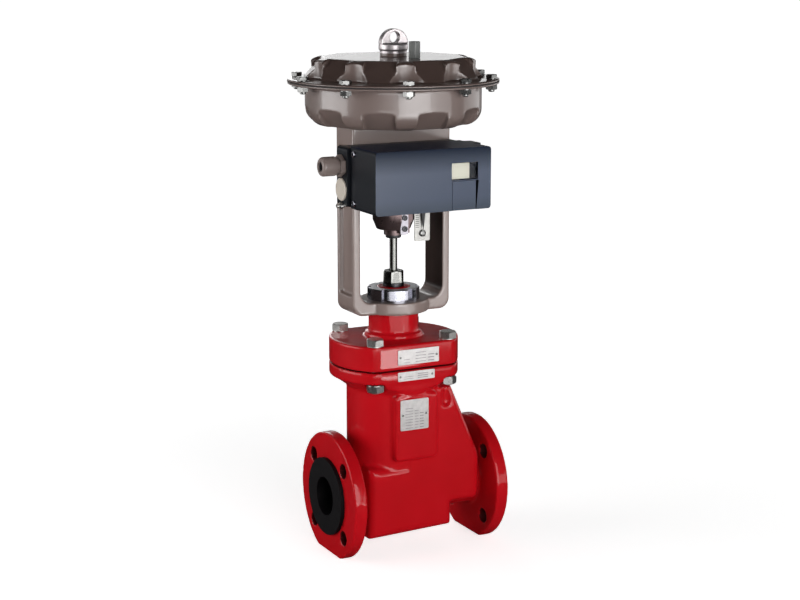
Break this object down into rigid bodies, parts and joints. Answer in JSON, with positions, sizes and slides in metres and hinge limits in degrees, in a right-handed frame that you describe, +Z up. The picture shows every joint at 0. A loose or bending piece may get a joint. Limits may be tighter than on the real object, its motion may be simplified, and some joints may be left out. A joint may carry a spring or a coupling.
{
  "type": "bellows sealed control valve",
  "caption": "Flanged, lined globe control valve with a bellows stem seal, spring diaphragm actuator on a yoke and a side-mounted positioner.",
  "frame": {"origin": "on the stem axis, on the plane of the flange flats that the valve stands on", "axes": "+Z up the stem, +X along the pipe axis to the outlet, +Y to the back, away from the positioner"},
  "size_m": [0.266, 0.266, 0.668],
  "materials": {
    "red_enamel": "gloss enamel",
    "taupe_enamel": "satin enamel",
    "black_liner": "matt moulded",
    "white_fluoropolymer": "matt",
    "stainless": "turned",
    "bright_plate": "polished",
    "zinc_fasteners": "zinc plated",
    "bush_bronze": "machined",
    "spring_steel": "oiled",
    "diaphragm_rubber": "matt",
    "housing_black": "satin",
    "housing_blue": "satin",
    "pane": "clear",
    "bare_plate": "brushed, bare",
    "bracket_steel": "phosphated",
    "gland_plastic": "moulded",
    "cream_plastic": "moulded"
  },
  "bodies": {
    "valve": {"valve_body": "red_enamel", "body_liner": "black_liner", "seat_ring": "stainless", "bellows_collar": "white_fluoropolymer", "bonnet": "red_enamel", "bonnet_screws": "zinc_fasteners", "bonnet_nuts": "zinc_fasteners", "guide_bush": "bush_bronze", "packing_rings": "white_fluoropolymer", "gland_follower": "stainless", "gland_nut": "stainless", "ring_nut": "bright_plate", "yoke": "taupe_enamel", "lower_case": "taupe_enamel", "upper_case": "taupe_enamel", "actuator_bush": "bush_bronze", "actuator_seal": "white_fluoropolymer", "case_screws": "zinc_fasteners", "case_nuts": "zinc_fasteners", "lifting_eye": "stainless", "vent_plug": "housing_black", "travel_scale": "bare_plate", "scale_screw": "zinc_fasteners", "positioner_base": "housing_black", "positioner_cover": "housing_blue", "display_window": "pane", "lcd_display": "housing_black", "cover_screws": "zinc_fasteners", "flap_pin": "bracket_steel", "positioner_bracket": "bracket_steel", "cable_gland": "gland_plastic", "gland_cap": "gland_plastic", "gland_seal": "white_fluoropolymer", "blind_plug": "cream_plastic", "earth_screw": "zinc_fasteners", "air_block": "bracket_steel", "body_plate": "bare_plate", "flange_tags": "bare_plate", "plate_rivets": "zinc_fasteners"},
    "stem": {"valve_plug": "stainless", "bellows": "white_fluoropolymer", "valve_stem": "stainless", "diaphragm": "diaphragm_rubber", "diaphragm_plate": "spring_steel", "plate_washer": "zinc_fasteners", "plate_nut": "zinc_fasteners", "actuator_stem": "stainless", "springs": "spring_steel", "lock_nut": "zinc_fasteners", "stem_coupling": "taupe_enamel", "pick_up_strip": "bare_plate", "strip_screws": "zinc_fasteners", "travel_pointer": "bare_plate"},
    "lever": {"lever_arm": "bracket_steel", "lever_shaft": "bracket_steel", "lever_pin": "bracket_steel"},
    "flap": {"key_flap": "housing_blue"},
    "key_left": {"left_key": "housing_black"},
    "key_middle": {"middle_key": "housing_black"},
    "key_right": {"right_key": "housing_black"}
  },
  "joints": [
    {"name": "stem_lift", "type": "slide", "parent": "valve", "child": "stem", "axis": [0, 0, 1], "range_m": [0, 0.015], "stiffness_N_per_m": 2000, "springref_m": -0.01, "deforming": ["bellows", "diaphragm", "springs"]},
    {"name": "lever_swing", "type": "hinge", "parent": "valve", "child": "lever", "pos_m": [0.045, -0.0276, 0.485], "axis": [0, 1, 0], "range_deg": [0, 17.5]},
    {"name": "flap_swing", "type": "hinge", "parent": "valve", "child": "flap", "pos_m": [0.029, -0.13, 0.4585], "axis": [1, 0, 0], "range_deg": [0, 95]},
    {"name": "left_key_press", "type": "slide", "parent": "valve", "child": "key_left", "axis": [0, 1, 0], "range_m": [0, 0.001], "stiffness_N_per_m": 400, "springref_m": -0.0005},
    {"name": "middle_key_press", "type": "slide", "parent": "valve", "child": "key_middle", "axis": [0, 1, 0], "range_m": [0, 0.001], "stiffness_N_per_m": 400, "springref_m": -0.0005},
    {"name": "right_key_press", "type": "slide", "parent": "valve", "child": "key_right", "axis": [0, 1, 0], "range_m": [0, 0.001], "stiffness_N_per_m": 400, "springref_m": -0.0005}
  ],
  "couplings": [
    {"joint": "lever_swing", "follows": "stem_lift", "rad_per_m": 20}
  ]
}
